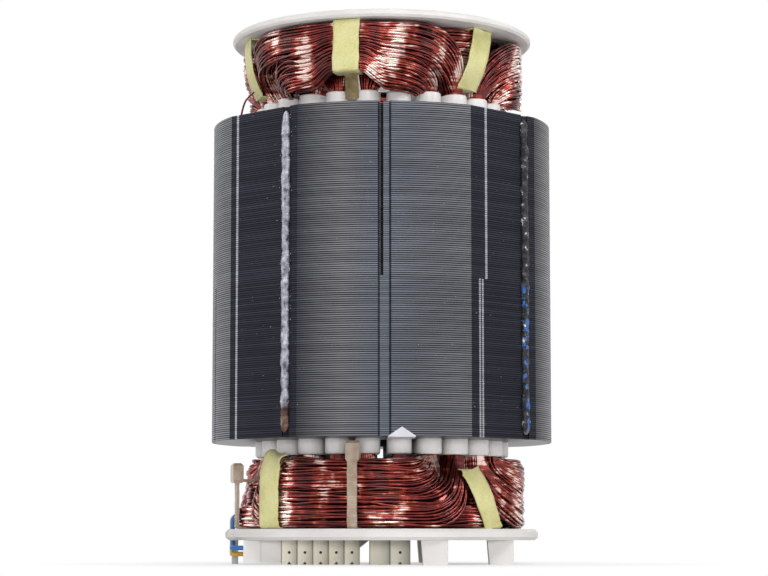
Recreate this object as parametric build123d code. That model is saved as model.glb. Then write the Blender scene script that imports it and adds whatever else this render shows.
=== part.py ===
from build123d import *
import os
from math import cos, pi, radians, sin, tan

os.makedirs("parts", exist_ok=True)

# Lengths in millimetres, angles in degrees. Z is the motor axis, upwards, and the floor is Z = 0.
# Angles round the axis start at the front (-Y) and grow towards +X.

# Core sheets
bore_diameter = 56.0
yoke_width = 14.8
sheet_pitch = 0.67
lower_sheet_count = 73
upper_sheet_count = 80
flat_depth = 2.1
flat_angles = (-45, 45, 135, 225)

# Slots
slot_count = 24
slot_depth = 12.2
tooth_width = 3.8
slot_mouth = 1.6
tip_height = 0.9
shoulder_height = 1.1

# Grooves on the outside of the core
weld_offset = 10.2
weld_bead_width = 3.0
weld_bead_depth = 2.2
weld_end_gap = 1.5
weld_sides = 10
index_groove_width = 1.4
index_wide_offset = 12.1
index_near_offset = 8.1
twin_groove_width = 0.8
twin_groove_offset = 10.5
twin_groove_pitch = 1.3
notch_width = 4.1
notch_floor_width = 2.8
notch_depth = 1.3
slit_width = 0.9
slit_offset = 0.8
slit_depth = 4.0
score_width = 0.6
score_angle = -76

# Slot liners and wedges
fit_gap = 0.05
liner_wall = 0.55
collar_lip = 0.9
upper_collar_height = 6.2
lower_collar_height = 4.8

# End turns, heights from the end face of the core
seat_height = 27.8
leg_exit_gap = 0.8
outer_tier_thickness = 5.5
winding_bore_gap = 2.9
tier_gap = 1.0
coil_gap = 0.4
outer_bundle_clearance = 1.2
inner_bundle_clearance = 7.65
inner_long_bulge = 3.4
inner_short_bulge = 0.8
long_corner_run = 20.0
short_corner_run = 10.5
form_rise = 5.0
bundle_gap = 0.2
shift_share = 0.93

# Upper end ring
ring_overhang = 2.8
ring_thickness = 2.4
ring_edge = 0.7
skirt_wall = 1.1
skirt_depth = 9.0
skirt_bore_gap = 1.2

# Terminal plate and its feet
plate_overhang = 4.25
plate_thickness = 3.5
plate_edge = 1.0
plate_hole_diameter = 30.0
post_height = 7.6
post_width = 8.2
post_depth = 6.0
post_draft = 0.6
post_corner = 0.4
post_rim_gap = 0.5
post_places = (20, 56, 158, 202)
leg_thickness = 1.8
leg_depth = 6.0
leg_rim_gap = 2.2
lead_notch_width = 6.4
lead_notch_depth = 3.8
lead_notch_angle = -82

# Sockets under the plate
socket_front_inset = 25.45
socket_depth = 8.0
bay_pitch = 4.9
bay_count = 5
closed_widths = (5.5, 6.4)
main_left_inset = 6.85
closed_relief = 0.6
pocket_width = 3.5
pocket_wall = 1.0
pocket_depth = 5.8
seam_width = 0.5
seam_depth = 0.4
vee_width = 1.5
vee_height = 1.0
dot_diameter = 0.9
dot_sides = 6
block_gap = 3.0
pair_pitch = 6.4
pair_bay_count = 2
gusset_drop = 2.4
gusset_depth = 2.0
tab_width = 2.4
tab_thickness = 0.8
tab_length = 4.6

# Lashing
tape_width = 8.4
inner_tape_spread = 2.95
tape_thickness = 0.35
tape_corner = 1.2
tie_width = 2.8
tie_thickness = 0.9
tie_head_spread = 2.25
tie_head_height = 6.0
tie_head_depth = 3.6
side_tape_tuck = 3.2

# Leads and the loose paper tab
lead_diameter = 1.5
lead_sides = 6
lead_bend_radius = 1.9
lead_rim_gap = 2.05
lead_level_high = 5.2
lead_level_low = 3.3
lead_rise = 4.4
paper_thickness = 0.25
paper_width = 8.4
paper_centre = 5.3
paper_rise = 2.8

# Worked-out sizes
front_angle = -90
quarter_turn = 90
half_turn = 180
bore_radius = bore_diameter / 2
slot_end_radius = bore_radius + slot_depth
core_radius = slot_end_radius + yoke_width
flat_distance = core_radius - flat_depth
lower_height = lower_sheet_count * sheet_pitch
upper_height = upper_sheet_count * sheet_pitch
core_height = lower_height + upper_height
half_core = core_height / 2
plate_top = post_height + plate_thickness
core_bottom = plate_top + seat_height
core_middle = core_bottom + half_core
core_top = core_bottom + core_height
slot_pitch_angle = 360 / slot_count
half_pitch = radians(slot_pitch_angle / 2)
slot_start_radius = bore_radius + tip_height + shoulder_height
round_centre = (slot_end_radius + tooth_width / 2) / (1 + sin(half_pitch))
round_radius = slot_end_radius - round_centre
cut_over = core_radius
liner_inset = fit_gap + liner_wall
leg_inset = liner_inset + fit_gap
leg_exit = max(upper_collar_height, lower_collar_height) + leg_exit_gap
skirt_inner_radius = bore_radius + skirt_bore_gap
skirt_outer_radius = skirt_inner_radius + skirt_wall
outer_tier_inner = slot_end_radius + tier_gap / 2
inner_tier_outer = slot_end_radius - tier_gap / 2
winding_radius = outer_tier_inner + outer_tier_thickness
inner_tier_inner = bore_radius + winding_bore_gap
bundle_top = seat_height - tape_thickness - bundle_gap
outer_coil_height = (bundle_top - leg_exit - outer_bundle_clearance - coil_gap) / 2
inner_coil_height = (bundle_top - leg_exit - inner_bundle_clearance - coil_gap) / 2
outer_bundle_low = bundle_top - 2 * outer_coil_height - coil_gap
inner_bundle_low = bundle_top - 2 * inner_coil_height - coil_gap
outer_middle = outer_tier_inner + outer_tier_thickness / 2
inner_middle = (inner_tier_outer + inner_tier_inner) / 2
outer_long_rise = bundle_top - outer_coil_height / 2
outer_short_rise = outer_long_rise - outer_coil_height - coil_gap
inner_long_rise = bundle_top - inner_coil_height / 2
inner_short_rise = inner_long_rise - inner_coil_height - coil_gap
shift_rise = shift_share * (outer_short_rise - leg_exit)
bundle_window = outer_middle * 2 * half_pitch - outer_coil_height
inner_tape_width = bundle_window + inner_tape_spread
tie_head_width = bundle_window + tie_head_spread
plate_radius = winding_radius + plate_overhang
ring_radius = winding_radius + ring_overhang
socket_front = plate_radius - socket_front_inset
main_left_end = main_left_inset - plate_radius
main_right_end = main_left_end + sum(closed_widths) + bay_count * bay_pitch
pair_left_end = main_right_end + block_gap
lead_run_radius = plate_radius - lead_rim_gap

# Groups of coils: angle of the middle of each group
outer_groups = {"front_outer": -15, "right_outer": 105, "left_outer": 225}
inner_groups = {"right_inner": 45, "rear_inner": 165, "left_inner": 285}
long_half_span = 3.5 * slot_pitch_angle
short_half_span = 2.5 * slot_pitch_angle

# Stations along half an end turn: shares of the quarter turn at its corner, then of the level arch
turn_shares = (0.0, 0.09, 0.18, 0.27, 0.40, 0.58, 0.78, 1.0)
arch_shares = (0.67, 0.33, 0.0)
bulge_half_angle = 20
corner_share = 0.26
leg_flank_angle = 75
leg_bend_angle = 47
leg_end_angle = 22


def turned(angle):
    """Rotation that brings a piece drawn with its radius along +X to an angle from the front."""
    return Rot(0, 0, angle + front_angle)


def spot(radius, angle, height):
    """Point at a radius, an angle from the front and a height."""
    turn = radians(angle + front_angle)
    return Vector(radius * cos(turn), radius * sin(turn), height)


def slot_side(radius, inset):
    """Half width of the slot at a radius, with its wall moved in by an inset."""
    return radius * tan(half_pitch) - (tooth_width / 2 + inset) / cos(half_pitch)


def slot_end(inset):
    """Corners of the slot's outer end on one side, as radius and offset, with the wall moved in by an inset."""
    end_round = round_radius - inset
    turns = (half_pitch + radians(quarter_turn), radians(leg_flank_angle), radians(leg_bend_angle), radians(leg_end_angle))
    return [(round_centre + end_round * cos(turn), end_round * sin(turn)) for turn in turns]


def slot_body(inset, start_radius):
    """Face of the slot's winding space, moved in by an inset."""
    start_y = slot_side(start_radius, inset)
    right = [(start_radius, start_y)] + slot_end(inset)
    left = [(x, -y) for x, y in reversed(right)]
    return make_face(Polyline(*right, *left, close=True))


def collar_body(start_radius):
    """Outer face of a collar: the slot's winding space with a lip all round."""
    return slot_body(-collar_lip, start_radius)


def shoulder_body(inset):
    """Face between the tooth tips and the winding space, moved in by an inset."""
    inner = bore_radius + tip_height + inset
    outer = slot_start_radius - inset
    inner_y = slot_mouth / 2 - inset
    outer_y = slot_side(slot_start_radius, 0) - 2 * inset
    return make_face(Polyline((inner, -inner_y), (outer, -outer_y), (outer, outer_y), (inner, inner_y), close=True))


def vee(offset, width):
    """Face of a V groove with right-angled walls in a flat of the core, at an offset from the flat's middle."""
    half = width / 2
    return make_face(
        Polyline((flat_distance, offset - half), (flat_distance - half, offset), (flat_distance, offset + half), close=True)
    )


def weld_face():
    """Section of a weld bead and of the groove that it fills, wider than deep."""
    return scale(RegularPolygon(1, weld_sides), (weld_bead_depth / 2, weld_bead_width / 2, 1))


def notch_face():
    """Face of the shallow trapezium notch in the middle of each round side."""
    floor = core_radius - notch_depth
    return make_face(
        Polyline(
            (core_radius + notch_depth, -notch_width / 2), (floor, -notch_floor_width / 2),
            (floor, notch_floor_width / 2), (core_radius + notch_depth, notch_width / 2), close=True,
        )
    )


def sheet_face():
    """Outline of one core sheet with its bore, slots and grooves."""
    square = Rot(0, 0, quarter_turn / 2) * Rectangle(2 * flat_distance, 2 * flat_distance)
    sheet = Circle(core_radius) & square
    cuts = [Circle(bore_radius)]
    slot = slot_body(0, slot_start_radius) + shoulder_body(0)
    slot += Pos(bore_radius, 0) * Rectangle(2 * (tip_height + fit_gap), slot_mouth)
    for index in range(slot_count):
        cuts.append(turned((index + 0.5) * slot_pitch_angle) * slot)
    for angle in flat_angles:
        cuts.append(turned(angle) * Pos(flat_distance, weld_offset) * weld_face())
    cuts.append(turned(flat_angles[0]) * vee(-index_wide_offset, index_groove_width))
    cuts.append(turned(flat_angles[2]) * vee(-index_wide_offset, index_groove_width))
    cuts.append(turned(flat_angles[3]) * vee(-index_near_offset, index_groove_width))
    for side in (-0.5, 0.5):
        cuts.append(turned(flat_angles[1]) * vee(-twin_groove_offset + side * twin_groove_pitch, twin_groove_width))
    for quarter in range(len(flat_angles)):
        cuts.append(turned(quarter * quarter_turn) * notch_face())
    slit = Pos(core_radius - notch_depth, -slit_offset) * Rectangle(2 * (slit_depth - notch_depth), slit_width)
    cuts.append(turned(half_turn) * slit)
    cuts.append(turned(score_angle) * Pos(core_radius, 0) * Rot(0, 0, quarter_turn / 2) * Rectangle(score_width, score_width))
    return sheet - cuts


def core_stacks():
    """Lower stack, and the upper stack of the same sheet turned half a turn."""
    sheet = sheet_face()
    lower = Pos(0, 0, core_bottom) * extrude(sheet, lower_height)
    upper = Pos(0, 0, core_bottom + lower_height) * Rot(0, 0, half_turn) * extrude(sheet, upper_height)
    return lower, upper


def weld_bead(angle):
    """Bead that fills the weld groove of one flat and stays inside the round outline."""
    length = core_height - 2 * weld_end_gap
    bead = extrude(weld_face(), length)
    return turned(angle) * Pos(flat_distance, weld_offset, core_bottom + weld_end_gap) * bead


def slot_liner():
    """Liner of one slot, open to the wedge, with a collar beyond each end of the core."""
    collar_start = bore_radius + tip_height
    space = slot_body(liner_inset, slot_start_radius)
    wall = slot_body(fit_gap, slot_start_radius) - space
    tube = Pos(0, 0, core_bottom) * extrude(wall, core_height)
    collar = collar_body(collar_start) - space
    upper = Pos(0, 0, core_top) * extrude(collar, upper_collar_height)
    lower = Pos(0, 0, core_bottom - lower_collar_height) * extrude(collar, lower_collar_height)
    return tube + upper + lower


def slot_wedge():
    """Strip that closes one slot behind the tooth tips."""
    return Pos(0, 0, core_bottom) * extrude(shoulder_body(fit_gap), core_height)


def around(piece):
    """The same piece at every slot."""
    return [turned((index + 0.5) * slot_pitch_angle) * piece for index in range(slot_count)]


def leg_points():
    """Corners of a coil side in its slot, as radius and offset, inner side first."""
    start = slot_start_radius + liner_wall
    start_y = slot_side(start, leg_inset)
    cut = start_y * corner_share
    flank, _, end = slot_end(leg_inset)[1:]
    return [
        (start, cut - start_y), (start, start_y - cut), (start + cut, start_y), flank,
        end, (end[0], -end[1]), (flank[0], -flank[1]), (start + cut, -start_y),
    ]


def bundle_points(thickness, height):
    """Corners of an end turn's section about its middle, in the same order as a coil side."""
    a = thickness / 2
    b = height / 2
    cut = corner_share * min(thickness, height)
    return [
        (-a, cut - b), (-a, b - cut), (cut - a, b), (a - cut, b),
        (a, b - cut), (a, cut - b), (a - cut, -b), (cut - a, -b),
    ]


def ease(share):
    """Smooth step from 0 to 1 for a share of a way."""
    share = min(max(share, 0), 1)
    return share * share * (3 - 2 * share)


def end_turn_path(half_span, corner_run, tier_radius, rise_to, bulge):
    """Stations of one end turn from collar to collar: angle, radius, level and share of the bundle's section."""
    legs = leg_points()
    leg_middle = (legs[0][0] + legs[4][0]) / 2
    rise = rise_to - leg_exit
    corner_angle = corner_run / tier_radius * half_turn / pi
    places = []
    for share in turn_shares:
        turn = radians(share * quarter_turn)
        places.append((half_span - corner_angle * (1 - cos(turn)), rise * sin(turn)))
    places += [(share * (half_span - corner_angle), rise) for share in arch_shares]
    stations = []
    for angle, up in places:
        swell = bulge * ease(1 - angle / bulge_half_angle)
        radius = leg_middle + ease(up / shift_rise) * (tier_radius - leg_middle) + swell
        stations.append((-angle, radius, half_core + leg_exit + up, ease(up / form_rise)))
    return stations + [(-angle, radius, level, form) for angle, radius, level, form in reversed(stations[:-1])]


def end_turn(path, thickness, height):
    """Loft of one end turn above the middle plane of the core, about the angle zero."""
    legs = leg_points()
    leg_middle = (legs[0][0] + legs[4][0]) / 2
    places = [spot(radius, angle, level) for angle, radius, level, _ in path]
    sections = []
    for index, (angle, radius, level, form) in enumerate(path):
        outward = spot(1, angle, 0)
        if index == 0:
            along = Vector(0, 0, 1)
        elif index == len(path) - 1:
            along = Vector(0, 0, -1)
        else:
            along = places[index + 1] - places[index - 1]
            along = (along - outward * outward.dot(along)).normalized()
        side = along.cross(outward)
        corners = []
        for leg, bundle in zip(legs, bundle_points(thickness, height)):
            u = leg[0] - leg_middle + form * (bundle[0] - leg[0] + leg_middle)
            v = leg[1] + form * (bundle[1] - leg[1])
            corners.append(places[index] + outward * u + side * v)
        sections.append(make_face(Polyline(*corners, close=True)))
    return loft(sections, ruled=True)


def coil(middle_angle, half_span, corner_run, tier_radius, thickness, height, rise_to, bulge):
    """One coil: two sides in their slots and an end turn above and below, as one loop."""
    path = end_turn_path(half_span, corner_run, tier_radius, rise_to, bulge)
    upper = end_turn(path, thickness, height)
    lower = mirror(upper, about=Plane.XY)
    side = extrude(make_face(Polyline(*leg_points(), close=True)), half_core + leg_exit, both=True)
    loop = upper + lower + turned(-half_span) * side + turned(half_span) * side
    return Pos(0, 0, core_middle) * Rot(0, 0, middle_angle) * loop


def coils():
    """All coils by name, a long and a short one in each group."""
    made = {}
    inner_thick = inner_tier_outer - inner_tier_inner
    for name, angle in outer_groups.items():
        size = (outer_middle, outer_tier_thickness, outer_coil_height)
        made[name + "_coil_long"] = coil(angle, long_half_span, long_corner_run, *size, outer_long_rise, 0)
        made[name + "_coil_short"] = coil(angle, short_half_span, short_corner_run, *size, outer_short_rise, 0)
    for name, angle in inner_groups.items():
        size = (inner_middle, inner_thick, inner_coil_height)
        made[name + "_coil_long"] = coil(
            angle, long_half_span, long_corner_run, *size, inner_long_rise, inner_long_bulge
        )
        made[name + "_coil_short"] = coil(
            angle, short_half_span, short_corner_run, *size, inner_short_rise, inner_short_bulge
        )
    return made


def end_ring():
    """Flat ring on the upper end turns, with a skirt inside them."""
    flange = extrude(Circle(ring_radius), ring_thickness)
    flange = chamfer(flange.edges().filter_by(GeomType.CIRCLE), ring_edge)
    skirt = Pos(0, 0, -skirt_depth) * extrude(Circle(skirt_outer_radius), skirt_depth)
    through = Pos(0, 0, -skirt_depth) * extrude(Circle(skirt_inner_radius), skirt_depth + ring_thickness)
    return Pos(0, 0, core_top + seat_height) * (flange + skirt - through)


def post(angle):
    """Foot near the rim of the plate, square to the front, with draft on its left side."""
    reach = plate_radius - post_rim_gap
    turn = radians(angle)
    left = -post_width / 2
    right = post_width / 2
    profile = Polyline(
        (left + post_draft, 0), (right, 0), (right, post_height), (left, post_height), close=True
    )
    foot = extrude(Plane.XZ * make_face(profile), post_depth / 2, both=True)
    foot = chamfer(foot.edges().filter_by(Axis.Z), post_corner)
    inset_x = post_width / 2 * abs(sin(turn)) + post_depth / 2 * abs(cos(turn))
    radius = reach - inset_x - post_draft
    return Pos(radius * sin(turn), -radius * cos(turn), 0) * foot


def terminal_plate():
    """Lower disc with its hole, inner skirt, feet, gusset and the rim notch for the leads."""
    disc = Pos(0, 0, post_height) * extrude(Circle(plate_radius), plate_thickness)
    disc = chamfer(disc.edges().filter_by(GeomType.CIRCLE), plate_edge)
    skirt = Pos(0, 0, plate_top) * extrude(Circle(skirt_outer_radius) - Circle(skirt_inner_radius), skirt_depth)
    hole = Pos(0, 0, post_height) * extrude(Circle(plate_hole_diameter / 2), plate_thickness)
    notch = Box(2 * lead_notch_depth, lead_notch_width, plate_thickness, align=(Align.CENTER, Align.CENTER, Align.MIN))
    plate = disc + skirt - hole - turned(lead_notch_angle) * Pos(plate_radius, 0, post_height) * notch
    for angle in post_places:
        plate += post(angle)
    leg = Box(leg_thickness, leg_depth, post_height, align=(Align.MIN, Align.CENTER, Align.MIN))
    plate += Pos(leg_rim_gap - plate_radius, 0, 0) * leg
    slope = Polyline(
        (main_right_end, post_height), (main_right_end, post_height - gusset_drop), (pair_left_end, post_height), close=True
    )
    gusset = extrude(Plane.XZ * make_face(slope), -gusset_depth)
    return plate + Pos(0, -socket_front + socket_depth / 2, 0) * gusset


def pocket(middle, floor_level):
    """Space of one contact, open downwards."""
    size_y = socket_depth - 2 * pocket_wall
    space = Box(pocket_width, size_y, pocket_depth, align=(Align.CENTER, Align.CENTER, Align.MIN))
    return Pos(middle, -socket_front + socket_depth / 2, floor_level) * space


def front_cuts(middle):
    """Small round hole and V mouth in the front wall of one bay."""
    dot = extrude(Plane.XZ * RegularPolygon(dot_diameter / 2, dot_sides), pocket_wall / 2, both=True)
    hole = Pos(middle, -socket_front, post_height / 2) * dot
    mouth = Polyline((-vee_width / 2, 0), (0, vee_height), (vee_width / 2, 0), close=True)
    cut = extrude(Plane.XZ * make_face(mouth), -2 * pocket_wall)
    return [hole, Pos(middle, -socket_front - pocket_wall, 0) * cut]


def seam(place):
    """Thin upright groove in the front wall between two bays."""
    cut = Box(seam_width, 2 * seam_depth, post_height, align=(Align.CENTER, Align.CENTER, Align.MIN))
    return Pos(place, -socket_front, 0) * cut


def bar(left, right, floor_level):
    """Plain bar of a socket block from a floor level up to the plate."""
    box = Box(right - left, socket_depth, post_height - floor_level, align=(Align.MIN, Align.MIN, Align.MIN))
    return Pos(left, -socket_front, floor_level) * box


def bay_middles():
    """Middles of the open bays of the main block, from right to left."""
    return [main_right_end - (index + 0.5) * bay_pitch for index in range(bay_count)]


def pair_middles():
    """Middles of the bays of the two-way block, from left to right."""
    return [pair_left_end + (index + 0.5) * pair_pitch for index in range(pair_bay_count)]


def main_socket():
    """Row of open bays with two closed boxes at its left end."""
    bays_left = main_left_end + sum(closed_widths)
    left = bays_left
    block = bar(bays_left, main_right_end, 0)
    cuts = []
    for middle in bay_middles():
        cuts.append(pocket(middle, 0))
        cuts += front_cuts(middle)
        cuts.append(seam(middle - bay_pitch / 2))
    for width in reversed(closed_widths):
        block += bar(left - width, left, closed_relief)
        cuts.append(pocket(left - width / 2, closed_relief))
        left -= width
        cuts.append(seam(left))
    return block - cuts[:-1]


def pair_socket():
    """Block with two open bays."""
    right = pair_left_end + pair_bay_count * pair_pitch
    cuts = [seam(pair_left_end + pair_pitch)]
    for middle in pair_middles():
        cuts.append(pocket(middle, 0))
    cuts += front_cuts(pair_middles()[-1])
    return bar(pair_left_end, right, 0) - cuts


def contact_tabs():
    """Flat contact in each open bay, standing on the roof of its pocket."""
    tab = Box(tab_thickness, tab_width, tab_length, align=(Align.CENTER, Align.CENTER, Align.MAX))
    tip = tab_thickness / 3
    tab = chamfer(tab.faces().sort_by(Axis.Z)[0].edges().filter_by(Axis.Y), tip)
    places = bay_middles() + pair_middles()
    return [Pos(middle, -socket_front + socket_depth / 2, pocket_depth) * tab for middle in places]


def loop_face(inner, outer, low, high, thick_out, thick_low):
    """Closed band round an end turn, as radius and height from the core, with its top at the seat."""
    space = Rectangle(outer - inner, high - low)
    space = Pos((inner + outer) / 2, (low + high) / 2) * chamfer(space.vertices(), tape_corner)
    left = inner - tape_thickness
    right = outer + thick_out
    bottom = low - thick_low
    top = seat_height
    frame = Rectangle(right - left, top - bottom)
    frame = Pos((left + right) / 2, (bottom + top) / 2) * chamfer(frame.vertices(), tape_corner)
    return frame - space


def band(face, middle_angle, width, radius):
    """Sweep of a band's section round the axis, as wide as stated at a radius."""
    sweep_angle = width / radius * half_turn / pi
    swept = revolve(Plane.XZ * face, Axis.Z, sweep_angle)
    return turned(middle_angle - sweep_angle / 2) * swept


def at_end(piece, upper):
    """A piece drawn by its height from the core, put at the upper or the lower end."""
    if upper:
        return Pos(0, 0, core_top) * piece
    return Pos(0, 0, core_bottom) * mirror(piece, about=Plane.XY)


def outer_loop(thick_out, thick_low):
    """Section of a band round an outer group."""
    low = outer_bundle_low - bundle_gap
    return loop_face(
        outer_tier_inner - bundle_gap, winding_radius + bundle_gap, low, seat_height - tape_thickness, thick_out, thick_low
    )


def inner_loop(thick_out, thick_low):
    """Section of a band round an inner group, out to its bulge."""
    low = inner_bundle_low - bundle_gap
    inner = inner_tier_inner + inner_short_bulge - 2 * bundle_gap
    outer = inner_tier_outer + inner_long_bulge + 2 * bundle_gap
    return loop_face(inner, outer, low, seat_height - tape_thickness, thick_out, thick_low)


def tie_head(radius, low):
    """Locking head of a cable tie above its band, as radius and height from the core."""
    head = Box(tie_head_depth, tie_head_width, tie_head_height, align=(Align.MAX, Align.CENTER, Align.MAX))
    return Pos(radius, 0, low) * head


def cable_tie(middle_angle, section, radius, low):
    """Cable tie round a lower end turn: band and head in one piece."""
    strap = band(section, middle_angle, tie_width, radius)
    return at_end(strap + turned(middle_angle) * tie_head(radius, low), False)


def side_tape(middle_angle):
    """Tape down the outside of a lower end turn, tucked in above it and under it."""
    outer = winding_radius + bundle_gap + tape_thickness
    inner = outer - side_tape_tuck
    low = leg_exit
    strip = Polyline(
        (inner, low), (outer, low), (outer, seat_height), (inner, seat_height), (inner, seat_height - tape_thickness),
        (outer - tape_thickness, seat_height - tape_thickness), (outer - tape_thickness, low + tape_thickness),
        (inner, low + tape_thickness), close=True,
    )
    return at_end(band(make_face(strip), middle_angle, tape_width, outer), False)


def lashings():
    """Tapes and cable ties by name."""
    made = {}
    outer_section = outer_loop(tape_thickness, tape_thickness)
    inner_section = inner_loop(tape_thickness, tape_thickness)
    inner_outside = inner_tier_outer + inner_long_bulge
    for name, angle in outer_groups.items():
        made["upper_tape_" + name] = at_end(band(outer_section, angle, tape_width, winding_radius), True)
    for name, angle in inner_groups.items():
        made["upper_tape_" + name] = at_end(band(inner_section, angle, inner_tape_width, inner_outside), True)
    for name in ("right_outer", "left_outer"):
        made["lower_tape_" + name] = at_end(band(outer_section, outer_groups[name], tape_width, winding_radius), False)
    for name in ("right_inner", "rear_inner"):
        made["lower_tape_" + name] = at_end(band(inner_section, inner_groups[name], inner_tape_width, inner_outside), False)
    side_angle = outer_groups["front_outer"] - 34
    made["lower_tape_front_outer"] = side_tape(side_angle)
    made["cable_tie_front"] = cable_tie(
        outer_groups["front_outer"] + 4, outer_loop(tie_thickness, tie_thickness),
        winding_radius + bundle_gap + tie_thickness, outer_bundle_low - bundle_gap
    )
    made["cable_tie_left"] = cable_tie(
        inner_groups["left_inner"], inner_loop(tie_thickness, tie_thickness),
        inner_outside + 2 * bundle_gap + tie_head_depth, inner_bundle_low - bundle_gap
    )
    return made


def lead(angle, level, entry_share):
    """Lead from the winding, down through the rim notch and into the left end of the main block."""
    entry = -socket_front + entry_share * socket_depth
    run = spot(lead_run_radius, angle, 0)
    top = plate_top + lead_rise
    start = spot(inner_tier_outer + inner_long_bulge + bundle_gap, angle, top)
    points = [
        start, Vector(run.X, run.Y, top), Vector(run.X, run.Y, level),
        Vector(main_left_end - 2 * lead_bend_radius, entry, level), Vector(main_left_end, entry, level),
    ]
    path = FilletPolyline(*points, radius=lead_bend_radius)
    section = Plane(origin=start, z_dir=points[1] - start) * RegularPolygon(lead_diameter / 2, lead_sides)
    return sweep(section, path)


def loose_paper():
    """Torn tab of slot paper: under the yoke from a collar and up over the core's lower edge."""
    collar_end = slot_end_radius + collar_lip + fit_gap
    outside = core_radius + paper_thickness
    under = Pos(0, 0, -paper_thickness) * extrude(Circle(outside) - Circle(collar_end), paper_thickness)
    upright = extrude(Circle(outside) - Circle(core_radius), paper_rise)
    left = paper_centre - paper_width / 2
    right = paper_centre + paper_width / 2
    shape = Polyline(
        (left, -paper_thickness), (right, -paper_thickness), (right, 0), (paper_centre, paper_rise), (left, 0), close=True
    )
    prism = extrude(Plane.XZ * make_face(shape), 2 * core_radius)
    return Pos(0, 0, core_bottom) * ((under + upright) & prism)


def save(name, shape):
    """Write one node as its own file."""
    if isinstance(shape, list):
        shape = Compound(children=shape)
    export_step(shape, "parts/" + name + ".step")


lower_stack, upper_stack = core_stacks()
save("lower_core_stack", lower_stack)
save("upper_core_stack", upper_stack)
for name, angle in zip(("left_front", "right_front", "right_rear", "left_rear"), flat_angles):
    save("weld_bead_" + name, weld_bead(angle))
save("slot_liners", around(slot_liner()))
save("slot_wedges", around(slot_wedge()))
for name, shape in coils().items():
    save(name, shape)
save("upper_end_ring", end_ring())
save("terminal_plate", terminal_plate())
save("main_socket_block", main_socket())
save("two_way_socket_block", pair_socket())
save("contact_tabs", contact_tabs())
for name, shape in lashings().items():
    save(name, shape)
save("blue_lead", lead(lead_notch_angle + 2, lead_level_high, 0.35))
save("yellow_lead", lead(lead_notch_angle - 2, lead_level_low, 0.65))
save("loose_paper", loose_paper())
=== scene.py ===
from math import acos, asin, cos, degrees, pi, radians, sin, tan

import bpy
import numpy as np
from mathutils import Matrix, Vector
from mathutils.geometry import tessellate_polygon


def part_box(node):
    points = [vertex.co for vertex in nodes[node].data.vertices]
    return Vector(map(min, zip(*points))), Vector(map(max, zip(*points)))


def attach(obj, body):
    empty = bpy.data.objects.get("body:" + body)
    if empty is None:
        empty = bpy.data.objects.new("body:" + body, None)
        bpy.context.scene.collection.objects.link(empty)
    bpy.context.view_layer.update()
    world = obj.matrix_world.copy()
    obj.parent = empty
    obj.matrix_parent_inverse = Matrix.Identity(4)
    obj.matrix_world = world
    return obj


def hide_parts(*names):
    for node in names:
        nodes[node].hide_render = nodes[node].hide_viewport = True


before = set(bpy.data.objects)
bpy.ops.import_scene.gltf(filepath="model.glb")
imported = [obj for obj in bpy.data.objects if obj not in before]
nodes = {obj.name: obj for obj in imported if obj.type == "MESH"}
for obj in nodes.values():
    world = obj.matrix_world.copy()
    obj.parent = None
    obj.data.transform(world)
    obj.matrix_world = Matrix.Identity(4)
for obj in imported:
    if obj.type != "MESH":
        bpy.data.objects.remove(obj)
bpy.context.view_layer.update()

# Lengths in millimetres and angles in degrees from the front (-Y) towards +X, as in the part's source.
# Meshes are turned into metres when they are built.
MM = 0.001

# Core sheets
core_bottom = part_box("lower_core_stack")[0][2] / MM
stack_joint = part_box("lower_core_stack")[1][2] / MM
core_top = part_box("upper_core_stack")[1][2] / MM
core_radius = 55.0
bore_radius = 28.0
flat_distance = 52.9
lower_sheets = 73
upper_sheets = 80
sheet_pitch = (stack_joint - core_bottom) / lower_sheets
sheet_groove, joint_inset, sheet_jut = 0.05, 0.14, 0.03
flat_groove_share, sheet_edge_share = 0.2, 0.12
half_side = 45
notch_width, notch_floor, notch_depth = 4.1, 2.8, 1.3
slit_side, slit_near, slit_far, slit_depth = 180, -1.25, -0.35, 4.0
score_side, score_angle, score_depth, score_half, score_reach = 270, 284, 0.42, 0.45, 1.0
arc_steps, weld_groove_steps, tip_steps = 17, 9, 5

# Index grooves on the flat after each side: place across the flat and half width
index_places = {
    0: [(-11.15, 0.4), (-9.85, 0.4)],
    90: [(-12.1, 0.5)],
    180: [(-8.1, 0.5)],
    270: [(-12.1, 0.45)],
}

# Welds: sizes of the bead, its lumps as shares of its size, and spatter beside it
weld_offset, weld_half_width, weld_half_depth = 10.2, 1.5, 1.1
# Widths of the painted shade on the flat before and after each weld groove
bead_shade_before, bead_shade_after = 0.4, 1.2
bead_shift, bead_wander, bead_taper, ripple_pitch = 0.2, 0.1, 1.5, 6.0
bead_share, lump_share, wander_share, ripple_share = 0.93, 0.06, 0.05, 0.08
grain_share, dent_share = 0.03, 0.05
bead_rows, bead_columns = 420, 12
spatter_count, spatter_low, spatter_high = 60, 0.08, 0.24
spatter_gap, spatter_spread, spatter_limit = 0.1, 0.8, 13.8
silver_rust_height, dark_rust_height = 11.0, 4.0

# Slots and liners
slot_count = 24
slot_pitch = 360 / slot_count
half_pitch = radians(slot_pitch / 2)
slot_depth, tooth_width, slot_mouth, tip_height, shoulder_height = 12.2, 3.8, 1.6, 0.9, 1.1
slot_end = bore_radius + slot_depth
slot_start = bore_radius + tip_height + shoulder_height
round_centre = (slot_end + tooth_width / 2) / (1 + sin(half_pitch))
round_radius = slot_end - round_centre
round_start = 90 + slot_pitch / 2
slot_bends = (round_start, 75, 47, 22)
liner_inset, liner_mouth_gap, liner_steps = 0.6, 1.2, 9
collar_lip, collar_round, collar_inner_round = 0.9, 0.6, 0.3
upper_collar, lower_collar = 6.2, 4.8

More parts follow.
